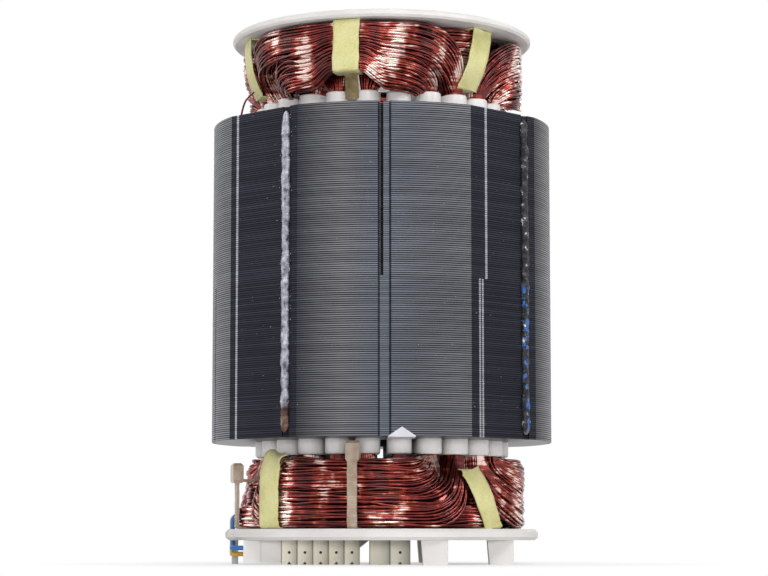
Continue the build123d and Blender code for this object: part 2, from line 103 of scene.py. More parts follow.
# End turns: heights are measured from the end face of the core
core_middle = (core_bottom + core_top) / 2
half_core = (core_top - core_bottom) / 2
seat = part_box("upper_tape_front_outer")[1][2] / MM - core_top
winding_radius = 46.2
tier_half_gap, bore_gap, seat_gap = 0.5, 2.9, 0.5
outer_inner = slot_end + tier_half_gap
inner_outer = slot_end - tier_half_gap
inner_inner = bore_radius + bore_gap
bundle_top = seat - seat_gap
outer_low, inner_low = 6.6, 13.4
long_span, short_span = 3.5 * slot_pitch, 2.5 * slot_pitch
long_run, short_run = 17.0, 10.5
outer_fan, inner_fan = 1.4, 2.6
long_bulge, short_bulge, bulge_reach = 3.4, 0.8, 20.0
left_swell = 4.2
leg_exit, leg_reach = 5.0, 1.9
leg_low, leg_high = slot_start + 0.55, slot_end - 0.9
leg_middle, leg_half = (leg_low + leg_high) / 2, (leg_high - leg_low) / 2
squeezed_low, squeeze_reach, squeeze_fade = 11.8, 10.0, 1.6
groups = {
    "front_outer": -15, "right_outer": 105, "left_outer": 225,
    "right_inner": 45, "rear_inner": 165, "left_inner": 285,
}

# Left and right corners of the coils that differ: run of the bend, and lean of the wires past their slot
special_runs = {
    ("front_outer", "upper"): {"long": (13.0, 24.0), "short": (10.5, 20.0)},
    ("front_outer", "lower"): {"long": (12.0, 16.0), "short": (9.0, 11.0)},
    ("right_outer", "upper"): {"long": (24.0, 17.0), "short": (18.0, 10.5)},
    ("right_outer", "lower"): {"long": (27.0, 17.0), "short": (20.0, 10.5)},
}
special_lean = {("front_outer", "long"): (6.0, 0.0)}

# Wires of an end turn, and how they differ from each other
wire = 0.82
wire_sides, corner_steps, crown_steps = 5, 11, 18
wire_gap_share, layer_gap_share, place_spread, section_power = 1.02, 0.9, 0.3, 7
heart_sides, heart_out_share, heart_up_share = 8, 0.66, 0.72
bend_spread, bend_height_share = 0.09, 0.14
fan_rise, fan_fall, tier_turn = 25, 55, 75
stray_share, stray_drift, stray_lift, even_drift = 0.22, 2.6, 0.3, 0.3
slack_shares = (1.0, 1.0, 1.0, 2.2)
waves = ((0.42, 1.1), (0.28, 2.6), (0.14, 6.0))
wave_stretch_low, wave_stretch_high, wave_depth_share = 0.6, 1.4, 0.55
top_gap_share, side_gap_share = 0.42, 0.3

# Sockets: left end of the bays, their pitch and their dots of painted shade in the pin holes
main_left, main_pitch = -31.7, 4.9
pair_left, pair_pitch = -4.2, 6.4
socket_height, hole_shade_radius = 7.6, 0.45

# Lashing
tape_width, side_tape_width, tail_width, tape_thickness = 8.4, 9.2, 4.2, 0.3
band_gap, band_corner, outer_tape_low = 0.1, 0.8, 11.4
fold_count, edge_wave_share, edge_ripple_share = 6, 0.02, 0.015
tie_width, tie_thickness, rib_pitch, rib_height, tie_fold = 3.0, 0.8, 0.85, 0.14, 0.004
head_depth, head_width, head_height = 3.4, 4.2, 6.0


def ease(share):
    """Smooth step from 0 to 1."""
    share = np.clip(share, 0, 1)
    return share * share * (3 - 2 * share)


def polar(radius, angle):
    """Points in plan at a radius and an angle from the front."""
    turn = np.radians(np.asarray(angle, dtype=float) - 90)
    return np.stack([radius * np.cos(turn), radius * np.sin(turn)], axis=-1)


def local(angle, along, across):
    """Point in plan at a distance along the radius at an angle, and across it."""
    turn = radians(angle - 90)
    return (along * cos(turn) - across * sin(turn), along * sin(turn) + across * cos(turn))


def placed(angle, radius, height):
    """Points in space from arrays of angle, radius and height."""
    plan = polar(1.0, angle) * np.asarray(radius)[..., None]
    return np.concatenate([plan, np.asarray(height)[..., None]], axis=-1)


def unit(vectors):
    return vectors / np.linalg.norm(vectors, axis=-1, keepdims=True)


def grid_faces(rows, columns, closed_rows, closed_columns, first=0):
    """Quads of a grid of points."""
    i = np.arange(rows if closed_rows else rows - 1)
    j = np.arange(columns if closed_columns else columns - 1)
    i, j = np.meshgrid(i, j, indexing="ij")
    i_next, j_next = (i + 1) % rows, (j + 1) % columns
    quads = [i * columns + j, i_next * columns + j, i_next * columns + j_next, i * columns + j_next]
    return np.stack(quads, axis=-1).reshape(-1, 4) + first


def add_object(name, data):
    piece = bpy.data.objects.new(name, data)
    bpy.context.scene.collection.objects.link(piece)
    return piece


def build(name, verts, faces, mats, node=None, slot=None, smooth=True, picks=None):
    """Mesh piece from points in millimetres, in place of a node of the part."""
    mesh = bpy.data.meshes.new(name)
    faces = [np.asarray(f, dtype=np.int32) for f in faces if len(f)]
    corners = np.concatenate([f.ravel() for f in faces])
    sizes = np.concatenate([np.full(len(f), f.shape[1], dtype=np.int32) for f in faces])
    mesh.vertices.add(len(verts))
    mesh.vertices.foreach_set("co", (np.asarray(verts, dtype=np.float32) * MM).ravel())
    mesh.loops.add(len(corners))
    mesh.loops.foreach_set("vertex_index", corners)
    mesh.polygons.add(len(sizes))
    mesh.polygons.foreach_set("loop_start", np.concatenate([[0], np.cumsum(sizes)[:-1]]).astype(np.int32))
    mesh.polygons.foreach_set("use_smooth", np.full(len(sizes), smooth))
    for mat in mats if isinstance(mats, list) else [mats]:
        mesh.materials.append(mat)
    if picks is not None:
        mesh.polygons.foreach_set("material_index", np.asarray(picks, dtype=np.int32))
    mesh.update(calc_edges=True)
    piece = add_object(name, mesh)
    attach(piece, "root")
    if node:
        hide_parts(node)
    return piece


# Shader helpers
def shader(name):
    mat = bpy.data.materials.new(name)
    mat.use_nodes = True
    return mat, mat.node_tree, mat.node_tree.nodes["Principled BSDF"]


def feed(tree, socket, value):
    """Set a socket from a number, a colour or another socket."""
    if isinstance(value, (int, float)):
        socket.default_value = value
    elif isinstance(value, tuple):
        socket.default_value = (*value, 1.0)
    else:
        tree.links.new(value, socket)


def dress(tree, node, values):
    """Set named inputs of a node."""
    for name, value in values.items():
        feed(tree, node.inputs[name], value)


def calc(tree, operation, a, b=0.0, c=0.0, clamp=False):
    node = tree.nodes.new("ShaderNodeMath")
    node.operation = operation
    node.use_clamp = clamp
    for socket, value in zip(node.inputs, (a, b, c)):
        feed(tree, socket, value)
    return node.outputs[0]


def past(tree, value, limit, rate):
    """0 up to a limit, and rising to 1 beyond it."""
    return calc(tree, "MULTIPLY", calc(tree, "SUBTRACT", value, limit), rate, clamp=True)


def coords(tree, scale=(1, 1, 1)):
    place = tree.nodes.new("ShaderNodeTexCoord")
    mapping = tree.nodes.new("ShaderNodeMapping")
    mapping.inputs["Scale"].default_value = scale
    tree.links.new(place.outputs["Object"], mapping.inputs["Vector"])
    return mapping.outputs["Vector"]


def axis(tree, vector, letter):
    node = tree.nodes.new("ShaderNodeSeparateXYZ")
    tree.links.new(vector, node.inputs[0])
    return node.outputs[letter]


def noise(tree, vector, scale, detail=3.0, roughness=0.55):
    node = tree.nodes.new("ShaderNodeTexNoise")
    dress(tree, node, {"Vector": vector, "Scale": scale, "Detail": detail, "Roughness": roughness})
    return node.outputs["Fac"]


def ramp(tree, share, stops):
    node = tree.nodes.new("ShaderNodeValToRGB")
    elements = node.color_ramp.elements
    while len(elements) < len(stops):
        elements.new(0.5)
    for element, (position, colour) in zip(elements, stops):
        element.position = position
        element.color = (*colour, 1.0)
    tree.links.new(share, node.inputs["Fac"])
    return node.outputs["Color"]


def mix(tree, share, a, b, kind="MIX"):
    node = tree.nodes.new("ShaderNodeMix")
    node.data_type = "RGBA"
    node.blend_type = kind
    for socket, value in ((node.inputs["Factor"], share), (node.inputs[6], a), (node.inputs[7], b)):
        feed(tree, socket, value)
    return node.outputs[2]


def grey(level):
    return (level, level, level)


def bump(tree, bsdf, height, strength, distance):
    node = tree.nodes.new("ShaderNodeBump")
    dress(tree, node, {"Height": height, "Strength": strength, "Distance": distance})
    dress(tree, bsdf, {"Normal": node.outputs["Normal"]})


# Materials
def sheet_steel(name, low, high, groove_shade_tone, gap_share, roughness, painted_shade_and_sheen=None):
    """Edges of stacked sheets: a tone for each sheet, stains, painted shade and sheen across each side where
    given, and painted shade in the grooves between sheets.
    """
    mat, tree, bsdf = shader(name)
    rise = calc(tree, "SUBTRACT", axis(tree, coords(tree), "Z"), core_bottom * MM)
    level = calc(tree, "DIVIDE", rise, sheet_pitch * MM)
    each = tree.nodes.new("ShaderNodeTexWhiteNoise")
    each.noise_dimensions = "1D"
    tree.links.new(calc(tree, "FLOOR", level), each.inputs["W"])
    tone = ramp(tree, each.outputs["Value"], [(0.0, low), (1.0, high)])
    streak = noise(tree, coords(tree, (1, 1, 14)), 60.0, 4.0)
    streak = ramp(tree, streak, [(0.25, grey(0.8)), (0.6, grey(1.0)), (0.8, grey(1.12))])
    tone = mix(tree, 1.0, tone, streak, "MULTIPLY")
    stain = noise(tree, coords(tree, (1, 1, 0.55)), 22.0, 5.0)
    dull = tuple(0.45 * share for share in low)
    tone = mix(tree, ramp(tree, stain, [(0.48, grey(0.0)), (0.74, grey(0.5))]), tone, dull)
    # Painted shade and sheen by the angle round the core, the same on each quarter
    if painted_shade_and_sheen:
        vector = coords(tree)
        forward = calc(tree, "MULTIPLY", axis(tree, vector, "Y"), -1.0)
        angle = calc(tree, "ARCTAN2", axis(tree, vector, "X"), forward)
        side = calc(tree, "FRACT", calc(tree, "MULTIPLY_ADD", angle, 2 / pi, 0.5))
        tone = mix(tree, 1.0, tone, ramp(tree, side, painted_shade_and_sheen), "MULTIPLY")
    # Painted shade: a near-black line in the groove between each two sheets
    off_middle = calc(tree, "ABSOLUTE", calc(tree, "SUBTRACT", calc(tree, "FRACT", level), 0.5))
    groove_shade = past(tree, off_middle, 0.5 - gap_share, 5.0 / gap_share)
    tone = mix(tree, groove_shade, tone, groove_shade_tone)
    nick = noise(tree, coords(tree, (1, 1, 2)), 900.0, 2.0)
    nick = ramp(tree, nick, [(0.75, grey(0.0)), (0.79, grey(1.0))])
    tone = mix(tree, nick, tone, (0.50, 0.51, 0.53))
    grain = noise(tree, coords(tree, (1, 1, 8)), 130.0)
    rough = ramp(tree, grain, [(0.3, grey(roughness)), (0.7, grey(roughness + 0.12))])
    rough = mix(tree, groove_shade, rough, grey(0.7))
    dress(tree, bsdf, {"Base Color": tone, "Metallic": 0.9, "Roughness": rough})
    return mat


def weld_metal(name, stops, rust_level, blued=0.0):
    """Rough weld metal, rusty below a level, with blued specks in the lower stack."""
    mat, tree, bsdf = shader(name)
    vector = coords(tree)
    height = axis(tree, vector, "Z")
    grain = noise(tree, vector, 420.0, 6.0, 0.7)
    colour = ramp(tree, grain, stops)
    speck = ramp(tree, noise(tree, vector, 520.0, 3.0), [(0.55, grey(0.0)), (0.60, grey(1.0))])
    lower = past(tree, stack_joint * MM, height, 400.0)
    speck = calc(tree, "MULTIPLY", calc(tree, "MULTIPLY", lower, blued), speck)
    colour = mix(tree, speck, colour, (0.05, 0.16, 0.50))
    rust = ramp(tree, noise(tree, vector, 300.0, 5.0), [
        (0.35, (0.02, 0.02, 0.035)), (0.52, (0.12, 0.05, 0.025)),
        (0.68, (0.30, 0.24, 0.22)), (0.8, (0.5, 0.48, 0.5)),
    ])
    below = calc(tree, "SUBTRACT", rust_level * MM, height)
    wavy = calc(tree, "MULTIPLY_ADD", noise(tree, vector, 200.0), 0.006, -0.003)
    rusty = calc(tree, "MULTIPLY", calc(tree, "ADD", below, wavy), 500.0, clamp=True)
    colour = mix(tree, rusty, colour, rust)
    dress(tree, bsdf, {"Base Color": colour, "Metallic": 0.55, "Roughness": 0.42})
    bump(tree, bsdf, grain, 0.8, 0.0005)
    return mat


def wire_enamel():
    """Copper seen through red enamel; paler patches drawn out along the wires are painted highlights."""
    mat, tree, bsdf = shader("enamelled_wire_with_painted_glare")
    glare_patch = noise(tree, coords(tree, (1, 1, 0.5)), 110.0, 3.0)
    streak = noise(tree, coords(tree, (1, 1, 7)), 170.0, 2.0)
    tone = calc(tree, "MULTIPLY_ADD", streak, 0.45, calc(tree, "SUBTRACT", glare_patch, 0.225))
    # The palest stop is a painted highlight: pale pink glare patches on the wires
    colour = ramp(tree, tone, [
        (0.38, (0.085, 0.002, 0.001)), (0.47, (0.19, 0.008, 0.004)),
        (0.55, (0.40, 0.050, 0.022)), (0.63, (0.90, 0.68, 0.62)),
    ])
    rough = ramp(tree, noise(tree, coords(tree), 260.0), [(0.35, grey(0.14)), (0.7, grey(0.24))])
    dress(tree, bsdf, {
        "Base Color": colour, "Metallic": 0.9, "Roughness": rough, "Specular IOR Level": 0.1,
        "Coat Weight": 0.5, "Coat Roughness": 0.06, "Coat IOR": 1.7,
    })
    return mat


def plastic(name, low, high, roughness=0.42, scale=70.0):
    mat, tree, bsdf = shader(name)
    vector = coords(tree)
    colour = ramp(tree, noise(tree, vector, scale, 4.0), [(0.35, low), (0.65, high)])
    dress(tree, bsdf, {"Base Color": colour, "Roughness": roughness})
    dress(tree, bsdf, {"Subsurface Weight": 0.12, "Subsurface Scale": 0.6})
    bsdf.inputs["Subsurface Radius"].default_value = (0.002, 0.0017, 0.0014)
    bump(tree, bsdf, noise(tree, vector, scale * 14), 0.25, 0.00006)
    return mat


def socket_plastic(name, left_end, pitch, bays_without_hole_shade):
    """Cream bays with painted light and shade across each as if rounded, painted shade in the seams, and a
    dot of painted shade in each pin hole; boxes left of them are white.
    """
    mat, tree, bsdf = shader(name)
    vector = coords(tree)
    x, z = axis(tree, vector, "X"), axis(tree, vector, "Z")
    mottle = noise(tree, vector, 90.0, 4.0)
    cream = ramp(tree, mottle, [(0.35, (0.82, 0.77, 0.63)), (0.65, (0.88, 0.85, 0.75))])
    bay = calc(tree, "FRACT", calc(tree, "DIVIDE", calc(tree, "SUBTRACT", x, left_end * MM), pitch * MM))
    # Painted light and shade across each bay as if it were rounded, and painted shade in the seams at its
    # ends
    bay_painted_light = ramp(tree, bay, [
        (0.0, grey(0.35)), (0.06, grey(1.15)), (0.45, grey(1.05)),
        (0.8, grey(0.78)), (0.94, grey(0.62)), (1.0, grey(0.3)),
    ])
    cream = mix(tree, 1.0, cream, bay_painted_light, "MULTIPLY")
    off = calc(tree, "MULTIPLY", calc(tree, "SUBTRACT", bay, 0.5), pitch * MM)
    rise = calc(tree, "SUBTRACT", z, socket_height / 2 * MM)
    away = calc(tree, "ADD", calc(tree, "MULTIPLY", off, off), calc(tree, "MULTIPLY", rise, rise))
    away = calc(tree, "SQRT", away)
    # Painted shade: a dark dot in the pin hole of each bay past those that have none
    hole_painted_shade = calc(tree, "LESS_THAN", away, hole_shade_radius * MM)
    hole_painted_shade = calc(tree, "MULTIPLY", hole_painted_shade, calc(tree, "GREATER_THAN", x, (left_end + bays_without_hole_shade * pitch) * MM))
    cream = mix(tree, hole_painted_shade, cream, (0.03, 0.025, 0.02))
    boxes = past(tree, left_end * MM, x, 4000.0)
    colour = mix(tree, boxes, cream, (0.80, 0.78, 0.76))
    dress(tree, bsdf, {"Base Color": colour, "Roughness": 0.45})
    bump(tree, bsdf, noise(tree, vector, 900.0), 0.25, 0.00006)
    return mat


def woven_tape():
    mat, tree, bsdf = shader("woven_tape")
    vector = coords(tree)
    colour = ramp(tree, noise(tree, vector, 120.0, 5.0), [
        (0.3, (0.60, 0.55, 0.22)), (0.5, (0.73, 0.69, 0.31)), (0.75, (0.80, 0.77, 0.42)),
    ])
    weave = noise(tree, coords(tree, (1, 1, 3)), 1500.0, 2.0)
    colour = mix(tree, 1.0, colour, ramp(tree, weave, [(0.35, grey(0.86)), (0.6, grey(1.0))]), "MULTIPLY")
    dress(tree, bsdf, {"Base Color": colour, "Roughness": 0.7, "Sheen Weight": 0.2})
    bump(tree, bsdf, weave, 0.35, 0.0002)
    return mat


def mottled(name, stops, scale, roughness, metallic=0.0, transmission=0.0):
    """Plain material with a mottled colour."""
    mat, tree, bsdf = shader(name)
    colour = ramp(tree, noise(tree, coords(tree), scale, 4.0), stops)
    dress(tree, bsdf, {"Base Color": colour, "Roughness": roughness, "Metallic": metallic})
    dress(tree, bsdf, {"Transmission Weight": transmission})
    return mat


# Kinds of edge round a sheet, as places in the list of sheet materials
ARC, FLAT, GROOVE, NOTCH, DARK, FACE = range(6)
# Painted shade and sheen across the round edges of each side: a dark band next to the flat on its left, light
# further in, bluer about the notch
ARC_PAINTED_SHADE_AND_SHEEN = [
    (0.18, (0.36, 0.37, 0.41)), (0.26, (0.80, 0.80, 0.81)), (0.35, (1.10, 1.09, 1.07)),
    (0.46, (0.86, 0.91, 1.02)), (0.54, (0.94, 0.99, 1.12)), (0.66, (0.97, 0.99, 1.04)),
    (0.82, (1.00, 1.00, 1.02)),
]
FACE_STOPS = [(0.3, (0.09, 0.09, 0.097)), (0.5, (0.13, 0.13, 0.137)), (0.75, (0.16, 0.158, 0.16))]
SHEETS = [
    sheet_steel("round_side_edges_with_painted_shade_and_sheen", (0.180, 0.183, 0.196), (0.246, 0.249, 0.265),
                (0.009, 0.009, 0.012), 0.21, 0.30, ARC_PAINTED_SHADE_AND_SHEEN),
    # Flat sides: their very dark tone is painted shade, a dark reflection
    sheet_steel("flat_side_edges_painted_shade", (0.023, 0.024, 0.036), (0.043, 0.045, 0.064),
                (0.004, 0.004, 0.007), 0.18, 0.30),
    # Index grooves: their light tone is a painted highlight
    sheet_steel("groove_painted_highlight", (0.38, 0.39, 0.42), (0.54, 0.55, 0.59), (0.09, 0.09, 0.10), 0.16, 0.30),
    sheet_steel("notch_edges", (0.15, 0.166, 0.20), (0.21, 0.23, 0.27), (0.03, 0.03, 0.036), 0.15, 0.28),
    # Slit, score, weld grooves and strips beside them: near-black painted shade
    sheet_steel("painted_shade_edges", (0.02, 0.02, 0.024), (0.04, 0.04, 0.047), (0.010, 0.010, 0.014), 0.15, 0.4),
    mottled("sheet_face", FACE_STOPS, 35.0, 0.38, 0.9),
]
SILVER_WELD = weld_metal("silver_weld", [
    (0.33, (0.03, 0.03, 0.04)), (0.41, (0.19, 0.19, 0.23)),
    (0.52, (0.38, 0.38, 0.44)), (0.68, (0.66, 0.66, 0.73)),
], core_bottom + silver_rust_height)
DARK_WELD = weld_metal("dark_weld", [
    (0.42, (0.008, 0.008, 0.010)), (0.55, (0.04, 0.04, 0.045)),
    (0.60, (0.15, 0.145, 0.14)), (0.63, (0.70, 0.70, 0.72)),
], core_bottom + dark_rust_height, 0.85)
WIRE = wire_enamel()
LINER = plastic("liner_white", (0.78, 0.75, 0.74), (0.85, 0.83, 0.82), 0.30)
MOULD = plastic("moulding_white", (0.72, 0.69, 0.67), (0.79, 0.77, 0.75), 0.65)
MAIN_SOCKET = socket_plastic("main_socket_cream_with_painted_shade", main_left, main_pitch, 0)
PAIR_SOCKET = socket_plastic("two_way_socket_cream_with_painted_shade", pair_left, pair_pitch, 1)
TAPE = woven_tape()
NYLON = mottled("aged_nylon", [(0.3, (0.40, 0.28, 0.19)), (0.65, (0.62, 0.50, 0.40))], 260.0, 0.33, 0.0, 0.2)
BRASS = mottled("contact_metal", [(0.3, (0.55, 0.42, 0.20)), (0.7, (0.72, 0.60, 0.34))], 300.0, 0.3, 1.0)
BLUE = mottled("blue_sleeve", [(0.3, (0.01, 0.10, 0.36)), (0.7, (0.03, 0.20, 0.55))], 300.0, 0.35)
YELLOW = mottled("yellow_sleeve", [(0.3, (0.48, 0.27, 0.03)), (0.7, (0.66, 0.42, 0.06))], 300.0, 0.35)
# Painted shade: the dark brown of the tape's end in the shadow under the winding
TAPE_PAINTED_SHADE = mottled("tape_painted_shade", [(0.3, (0.16, 0.11, 0.05)), (0.7, (0.34, 0.26, 0.13))], 400.0, 0.7)
PAPER = mottled("slot_paper", [(0.3, (0.58, 0.57, 0.62)), (0.7, (0.72, 0.71, 0.76))], 400.0, 0.6)


# Core stacks
def sheet_outline(turn):
    """Outline of a sheet turned by an angle, as points and the kind of edge that follows each point."""
    points, kinds = [], []

    def go(point, kind):
        points.append(point)
        kinds.append(kind)

    def go_round(angle, kind, radius=core_radius):
        go(tuple(polar(radius, angle + turn)), kind)

    half_flat = degrees(acos(flat_distance / core_radius))
    half_notch = degrees(asin(notch_width / 2 / core_radius))
    floor = core_radius - notch_depth
    for side in (0, 90, 180, 270):
        at = side + turn
        for angle in np.linspace(side - half_side + half_flat, side - half_notch, arc_steps)[:-1]:
            go_round(angle, ARC)
        go(local(at, core_radius, -notch_width / 2), NOTCH)
        go(local(at, floor, -notch_floor / 2), NOTCH)
        # The slit's walls are near black: painted shade
        if side == slit_side:
            go(local(at, floor, slit_near), DARK)
            go(local(at, core_radius - slit_depth, slit_near), DARK)
            go(local(at, core_radius - slit_depth, slit_far), DARK)
            go(local(at, floor, slit_far), NOTCH)
        go(local(at, floor, notch_floor / 2), NOTCH)
        go(local(at, core_radius, notch_width / 2), ARC)
        for angle in np.linspace(side + half_notch, side + half_side - half_flat, arc_steps)[1:-1]:
            # The score is near black: painted shade
            if side == score_side and abs(angle - score_angle) < score_reach:
                go_round(score_angle - score_half, DARK)
                go_round(score_angle, DARK, core_radius - score_depth)
                angle = score_angle + score_half
            go_round(angle, ARC)
        go_round(side + half_side - half_flat, FLAT)
        middle = at + half_side
        for place, half in index_places[side]:
            go(local(middle, flat_distance, place - half), GROOVE)
            go(local(middle, flat_distance - half, place), GROOVE)
            go(local(middle, flat_distance, place + half), FLAT)
        # The weld groove and a strip of the flat on each side of it are near black: painted shade of the bead
        go(local(middle, flat_distance, weld_offset - weld_half_width - bead_shade_before), DARK)
        for angle in np.linspace(180, 360, weld_groove_steps):
            across = weld_offset + weld_half_width * cos(radians(angle))
            go(local(middle, flat_distance + weld_half_depth * sin(radians(angle)), across), DARK)
        go(local(middle, flat_distance, weld_offset + weld_half_width + bead_shade_after), FLAT)
    return np.array(points), np.array(kinds)


def slot_side(radius, inset):
    """Half width of a slot at a radius, with its wall moved in by an inset."""
    return radius * tan(half_pitch) - (tooth_width / 2 + inset) / cos(half_pitch)


def bore_outline():
    """Tooth tips and slots inside a sheet."""
    points = []
    half_mouth = degrees(asin(slot_mouth / 2 / bore_radius))
    bends = np.radians(slot_bends)
    for index in range(slot_count):
        middle = (index + 0.5) * slot_pitch
        tip = np.linspace(middle - slot_pitch + half_mouth, middle - half_mouth, tip_steps)
        points += [tuple(p) for p in polar(bore_radius, tip)]
        side = [(bore_radius + tip_height, slot_mouth / 2), (slot_start, slot_side(slot_start, 0))]
        side += [(round_centre + round_radius * cos(a), round_radius * sin(a)) for a in bends]
        points += [local(middle, x, -y) for x, y in side]
        points += [local(middle, x, y) for x, y in reversed(side)]
    return np.array(points)


def sheet_stack(name, node, bottom, count, turn, seed, bottom_inset, top_inset):
    """Stack of sheets: a fine groove between sheets, each sheet a little in or out, and its ends set in."""
    random = np.random.default_rng(seed)
    outer, kinds = sheet_outline(turn)
    inner = bore_outline()
    n, m = len(outer), len(inner)
    before, after = unit(outer - np.roll(outer, 1, axis=0)), unit(np.roll(outer, -1, axis=0) - outer)
    tangent = unit(before + after)
    outward = np.stack([tangent[:, 1], -tangent[:, 0]], axis=1)
    groove_share = np.where(kinds == FLAT, flat_groove_share, 1.0)
    groove = groove_share * sheet_groove
    rings = []
    for index in range(count):
        jut = random.uniform(-sheet_jut, 0.0) * groove_share
        foot = jut - groove if index else jut - bottom_inset
        for share, offset in ((0.0, foot), (sheet_edge_share, jut), (1 - sheet_edge_share, jut)):
            height = bottom + (index + share) * sheet_pitch
            rings.append(np.column_stack([outer + outward * offset[:, None], np.full(n, height)]))
    top = bottom + count * sheet_pitch
    rings.append(np.column_stack([outer - outward * top_inset, np.full(n, top)]))
    levels = len(rings)
    verts = rings + [np.column_stack([inner, np.full(m, height)]) for height in (bottom, top)]
    first = levels * n
    faces = [grid_faces(levels, n, False, True), grid_faces(2, m, False, True, first)[:, ::-1]]
    picks = [np.tile(kinds, levels - 1), np.full(m, ARC)]
    loops = [[Vector((x, y, 0)) for x, y in loop] for loop in (outer, inner)]
    cap = np.array(tessellate_polygon(loops))
    plan = np.vstack([outer, inner])
    a, b, c = (plan[cap[:, k]] for k in range(3))
    facing_up = np.cross(b - a, c - a) > 0
    for ring, bore, up in ((0, first, False), ((levels - 1) * n, first + m, True)):
        flat = np.where(cap < n, cap + ring, cap - n + bore)
        flat[facing_up != up] = flat[facing_up != up][:, ::-1]
        faces.append(flat)
        picks.append(np.full(len(flat), FACE))
    build(name, np.vstack(verts), faces, SHEETS, node, "core_steel", False, np.concatenate(picks))


sheet_stack("lower_sheets", "lower_core_stack", core_bottom, lower_sheets, 0, 1, 0, joint_inset)
sheet_stack("upper_sheets", "upper_core_stack", stack_joint, upper_sheets, 180, 2, joint_inset, 0)


# Weld beads
def smooth_noise(random, count, reach):
    """Random values along a line, averaged over a reach."""
    values = random.normal(0, 1, count + 2 * reach)
    return np.convolve(values, np.ones(reach) / reach ** 0.5, "same")[reach:-reach]


def weld_bead(name, node, angle, mat, seed):
    """Lumpy bead that fills the weld groove of a flat, with drops of spatter beside it."""
    random = np.random.default_rng(seed)
    low, high = (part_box(node)[k][2] / MM for k in (0, 1))
    rows, columns = bead_rows, bead_columns
    z = np.linspace(low, high, rows)
    wander = smooth_noise(random, rows, 40)
    size = bead_share + lump_share * smooth_noise(random, rows, 10) + wander_share * wander
    size += ripple_share * np.abs(np.sin(z * pi / ripple_pitch))
    size *= np.sqrt(np.clip(np.minimum(z - low, high - z) / bead_taper, 0.1, 1.0))
    bead = np.zeros((rows, columns, 3))
    for column, turn in enumerate(np.linspace(0, 2 * pi, columns, endpoint=False)):
        grain = grain_share * random.normal(0, 1, rows)
        lump = size * (1 + grain + dent_share * smooth_noise(random, rows, 7))
        along = flat_distance + np.minimum(cos(turn) * weld_half_depth * lump, weld_half_depth)
        across = weld_offset - bead_shift + bead_wander * wander + sin(turn) * weld_half_width * lump
        bead[:, column] = np.column_stack([*local(angle, along, across), z])
    verts, faces = [bead.reshape(-1, 3)], [grid_faces(rows, columns, False, True)[:, ::-1]]
    fan = np.array([[0, k, k + 1] for k in range(1, columns - 1)])
    faces += [fan[:, ::-1], fan + (rows - 1) * columns]
    drop = np.array([(1, 0, 0), (-1, 0, 0), (0, 1, 0), (0, -1, 0), (0, 0, 1), (0, 0, -1)], dtype=float)
    sides = np.array([(0, 2, 4), (2, 1, 4), (1, 3, 4), (3, 0, 4), (2, 0, 5), (1, 2, 5), (3, 1, 5), (0, 3, 5)])
    first = rows * columns
    for _ in range(spatter_count):
        radius = random.uniform(spatter_low, spatter_high)
        side = random.choice((-1, 1))
        across = weld_offset + side * (weld_half_width + abs(random.normal(spatter_gap, spatter_spread)))
        across = min(across, spatter_limit)
        centre = np.array([*local(angle, flat_distance, across), random.uniform(low, high)])
        verts.append(centre + drop * radius)
        faces.append(sides + first)
        first += len(drop)
    build(name, np.vstack(verts), faces, mat, node, "weld_steel")


for number, flat in enumerate(("left_front", "right_front", "right_rear", "left_rear")):
    mat = DARK_WELD if number % 2 else SILVER_WELD
    weld_bead("weld_" + flat, "weld_bead_" + flat, -45 + 90 * number, mat, 11 + number)


# Slot liners
def liner_outline(inset, start):
    """Outline of a liner or collar, as distance along and across its slot."""
    radius = round_radius - inset
    bends = np.radians(np.linspace(round_start, 0, liner_steps))
    side = [(start, slot_side(start, inset))]
    side += [(round_centre + radius * cos(a), radius * sin(a)) for a in bends]
    return np.array([(x, -y) for x, y in side] + [(x, y) for x, y in reversed(side[:-1])])


def collar_profile(height):
    """Rings of a collar from the core's face over its rounded rim to its inside, as inset and rise."""
    return [
        (-collar_lip, 0), (-collar_lip, height - collar_round),
        (-collar_lip + collar_round / 4, height - collar_round / 3),
        (-collar_lip + collar_round * 3 / 4, height),
        (liner_inset - collar_inner_round / 2, height), (liner_inset, height - collar_inner_round),
    ]


def slot_liners():
    """Liner of each slot with its rounded collars, as one skin from collar to collar and back inside."""
    profile = [(inset, core_top + rise) for inset, rise in collar_profile(upper_collar)]
    profile += [(inset, core_bottom - rise) for inset, rise in reversed(collar_profile(lower_collar))]
    verts, faces, first = [], [], 0
    for index in range(slot_count):
        middle = (index + 0.5) * slot_pitch
        for inset, height in profile:
            start = bore_radius + tip_height
            if inset > 0:
                start += inset + liner_mouth_gap
            outline = liner_outline(inset, start)
            plan = local(middle, outline[:, 0], outline[:, 1])
            verts.append(np.column_stack([*plan, np.full(len(outline), height)]))
        faces.append(grid_faces(len(profile), len(outline), False, True, first))
        first += len(profile) * len(outline)
    build("collared_liners", np.vstack(verts), faces, LINER, "slot_liners", "liner_plastic")


slot_liners()


